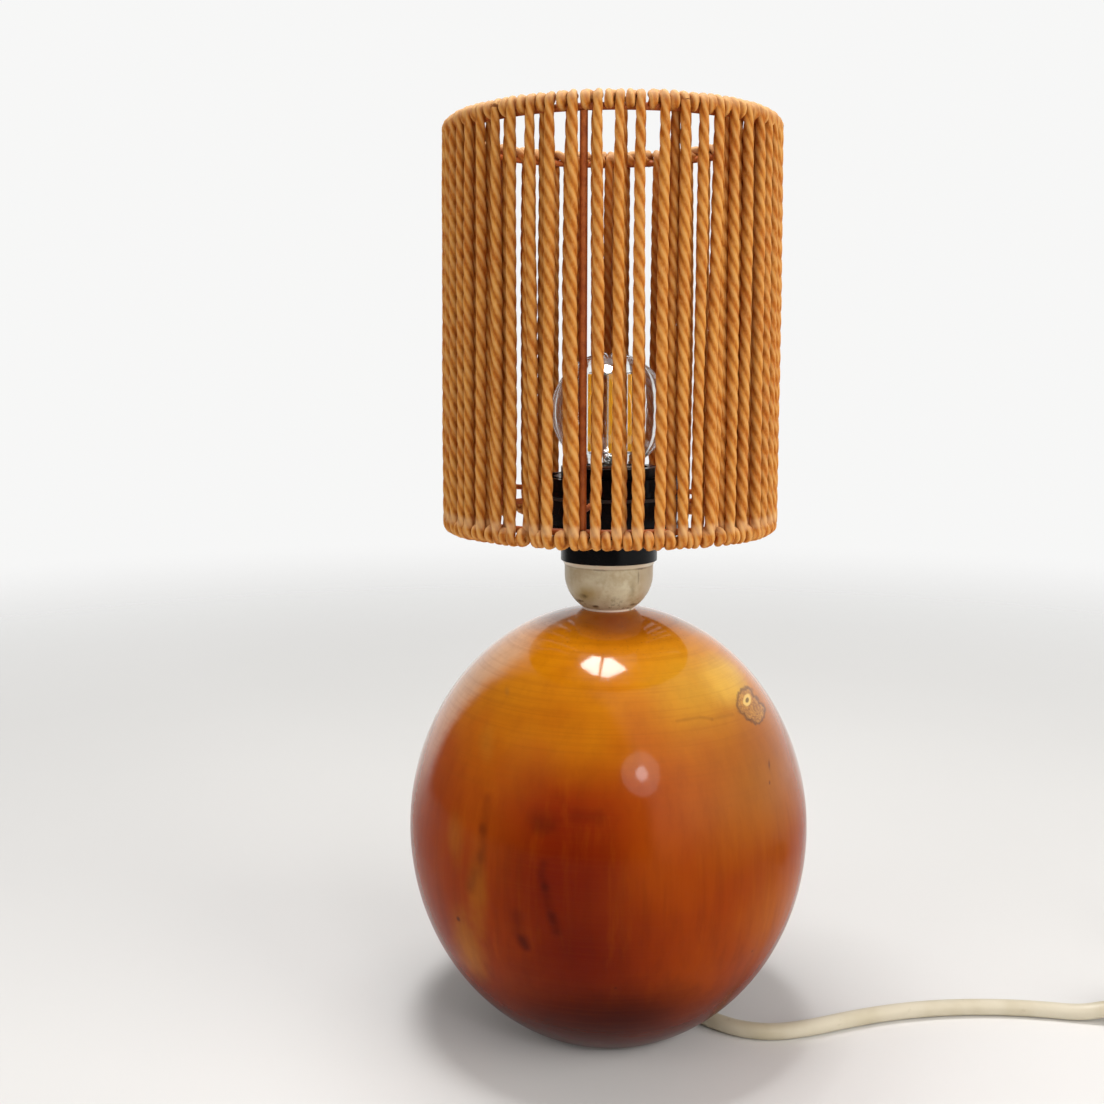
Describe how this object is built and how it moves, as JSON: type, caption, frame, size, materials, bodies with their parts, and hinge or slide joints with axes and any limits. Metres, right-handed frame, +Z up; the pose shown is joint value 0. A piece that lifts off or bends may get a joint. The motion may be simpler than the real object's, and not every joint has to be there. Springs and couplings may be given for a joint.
{
  "type": "table lamp",
  "caption": "Table lamp: turned wooden ball base cut flat underneath, screw lampholder with a clear filament bulb, cylinder shade wound with twisted paper cord, flex with switch and plug.",
  "frame": {"origin": "on the table, on the vertical axis of the wooden ball, in the plane of the ball's flat foot", "axes": "+Z up along the lamp's axis, -Y towards the viewer of the picture, +X to the viewer's right, the side to which the flex runs"},
  "size_m": [0.5095, 0.1669, 0.3655],
  "materials": {
    "turned_wood": "satin varnish",
    "cream_plastic": "semi-gloss",
    "black_plastic": "semi-gloss",
    "insert_plastic": "matt",
    "brass": "bare",
    "steel": "zinc plated",
    "clear_glass": "clear",
    "led_phosphor": "matt",
    "frame_wire": "dark brown, satin",
    "paper_cord": "twisted paper cord",
    "flex_sheath": "off-white, satin",
    "live_insulation": "satin",
    "neutral_insulation": "satin",
    "switch_and_plug": "off-white, semi-gloss",
    "bulb_cap_metal": "nickel plated"
  },
  "bodies": {
    "lamp": {"wood_ball": "turned_wood", "threaded_tube": "steel", "bottom_washer": "steel", "bottom_nut": "steel", "holder_cap": "cream_plastic", "tube_lock_screw": "steel", "holder_shell": "black_plastic", "holder_insert": "insert_plastic", "terminal_clamps": "brass", "terminal_screws": "steel", "thread_shell": "brass", "centre_contact": "brass", "flex_inner": "flex_sheath", "live_core": "live_insulation", "neutral_core": "neutral_insulation", "flex_run": "flex_sheath", "flex_lead": "flex_sheath", "flex_coil": "flex_sheath", "flex_tail": "flex_sheath", "switch_lower_case": "switch_and_plug", "switch_upper_case": "switch_and_plug", "switch_screws": "steel", "switch_contacts": "brass", "plug_body": "switch_and_plug", "plug_pins": "steel"},
    "bulb": {"bulb_glass": "clear_glass", "bulb_cap": "bulb_cap_metal", "bulb_insulator": "black_plastic", "bulb_tip": "brass", "bulb_stem": "clear_glass", "led_filaments": "led_phosphor", "led_wires": "steel"},
    "shade": {"shade_top_ring": "frame_wire", "shade_bottom_ring": "frame_wire", "shade_stays": "frame_wire", "carrier_ring": "frame_wire", "carrier_arms": "frame_wire", "cord_winding": "paper_cord"},
    "upper_ring": {"upper_shade_ring": "black_plastic"},
    "lower_ring": {"lower_shade_ring": "black_plastic"},
    "rocker": {"switch_rocker": "switch_and_plug"}
  },
  "joints": [
    {"name": "bulb_lift_out", "type": "slide", "parent": "lamp", "child": "bulb", "axis": [0, 0, 1], "range_m": [0, 0.17]},
    {"name": "shade_turn", "type": "hinge", "parent": "lamp", "child": "shade", "pos_m": [0, 0, 0.2208], "axis": [0, 0, 1], "continuous": true},
    {"name": "upper_ring_turn", "type": "hinge", "parent": "lamp", "child": "upper_ring", "pos_m": [0, 0, 0.225], "axis": [0, 0, 1], "continuous": true},
    {"name": "lower_ring_turn", "type": "hinge", "parent": "lamp", "child": "lower_ring", "pos_m": [0, 0, 0.214], "axis": [0, 0, 1], "continuous": true},
    {"name": "rocker_tilt", "type": "hinge", "parent": "lamp", "child": "rocker", "pos_m": [0.249, -0.0152, 0.0104], "axis": [0, 1, 0], "range_deg": [0, 18]}
  ]
}
